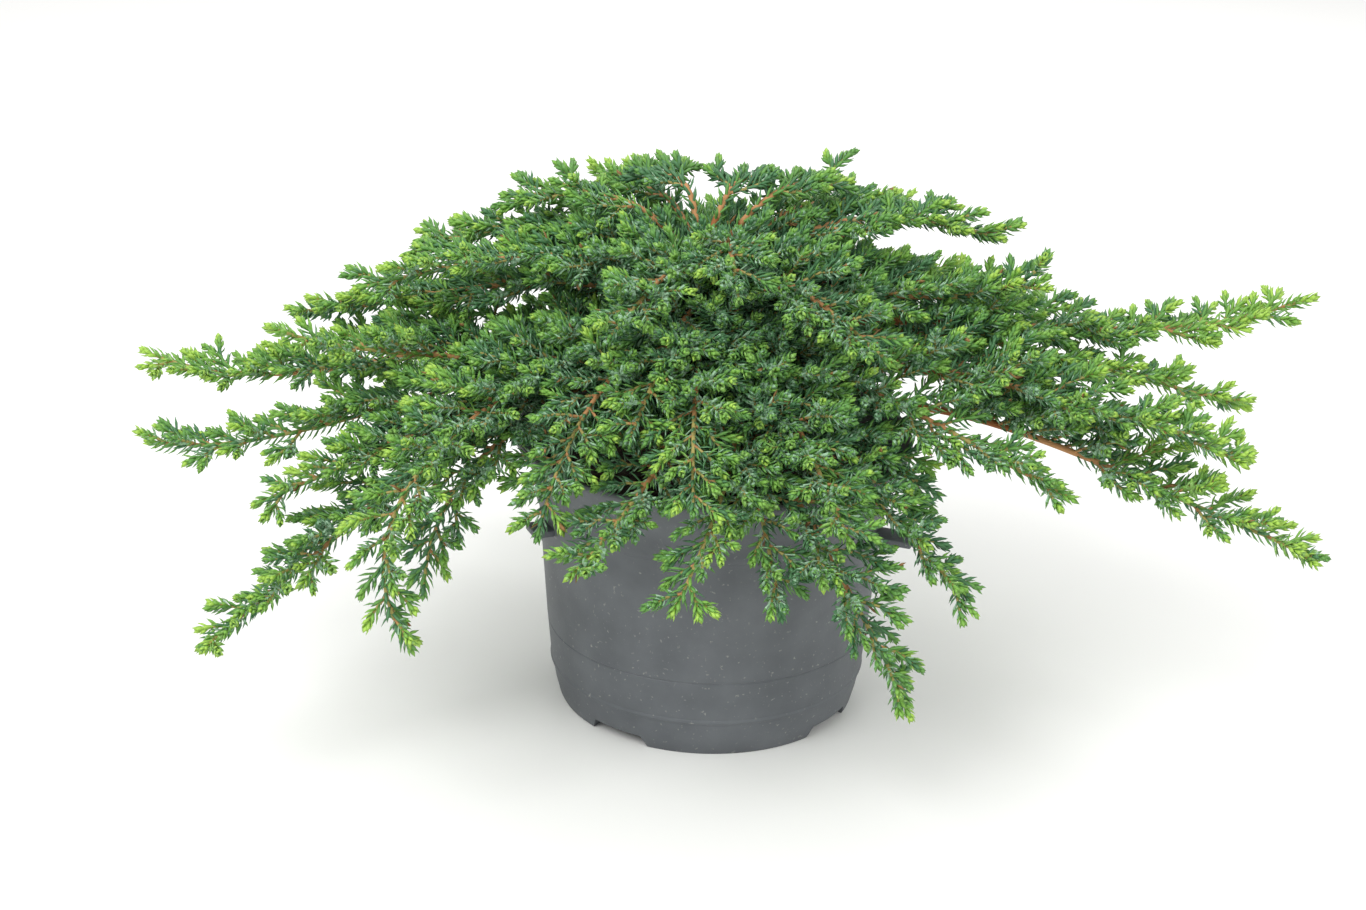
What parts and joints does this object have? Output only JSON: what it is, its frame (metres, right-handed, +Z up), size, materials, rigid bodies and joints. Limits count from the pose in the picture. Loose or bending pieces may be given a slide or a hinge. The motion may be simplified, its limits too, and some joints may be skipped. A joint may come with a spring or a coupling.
{
  "type": "potted common juniper",
  "caption": "Creeping common juniper in a round nursery pot: low dome of arching boughs with short awl needles, long shoots trailing over the rim of the matte grey pot.",
  "frame": {"origin": "middle of the pot's flat underside, on the surface it stands on", "axes": "+Z up; +X is the right and -Y the front of the plant as it is shown"},
  "size_m": [0.4581, 0.3157, 0.2097],
  "materials": {
    "pot": "matte moulded polypropylene",
    "growing_medium": "damp peat and bark",
    "bark": "peeling reddish bark",
    "bough_bark": "smooth young orange-brown bark",
    "needles": "blue-green needles, lime at the tips"
  },
  "bodies": {
    "root": {"bough_far_1": "bough_bark", "bough_far_5": "bough_bark", "bough_far_9": "bough_bark", "bough_front_hanging": "bough_bark", "bough_left_front": "bough_bark", "bough_left_upper": "bough_bark", "bough_right_high": "bough_bark", "bough_right_low": "bough_bark", "bough_right_middle": "bough_bark", "foliage_far_1": "needles", "foliage_far_10": "needles", "foliage_far_2": "needles", "foliage_far_3": "needles", "foliage_far_4": "needles", "foliage_far_5": "needles", "foliage_far_6": "needles", "foliage_far_7": "needles", "foliage_far_8": "needles", "foliage_far_9": "needles", "foliage_front_crown_left": "needles", "foliage_front_crown_middle": "needles", "foliage_front_crown_right": "needles", "foliage_front_face_left": "needles", "foliage_front_hanging": "needles", "foliage_front_inner_middle": "needles", "foliage_front_left": "needles", "foliage_front_low": "needles", "foliage_front_lower_right": "needles", "foliage_front_mid_left": "needles", "foliage_front_mid_right": "needles", "foliage_front_middle": "needles", "foliage_front_right": "needles", "foliage_front_sill_left": "needles", "foliage_front_sill_right": "needles", "foliage_left_crown": "needles", "foliage_left_front": "needles", "foliage_left_hanging": "needles", "foliage_left_low": "needles", "foliage_left_middle": "needles", "foliage_left_peak": "needles", "foliage_left_shaded": "needles", "foliage_left_top": "needles", "foliage_left_upper": "needles", "foliage_left_upright": "needles", "foliage_peak_far": "needles", "foliage_peak_far_left": "needles", "foliage_peak_far_right": "needles", "foliage_peak_left": "needles", "foliage_peak_middle": "needles", "foliage_peak_right": "needles", "foliage_right_crown": "needles", "foliage_right_front": "needles", "foliage_right_high": "needles", "foliage_right_low": "needles", "foliage_right_middle": "needles", "foliage_right_peak": "needles", "foliage_right_upper": "needles", "growing_medium": "growing_medium", "pot": "pot", "trunk": "bark"}
  },
  "joints": []
}
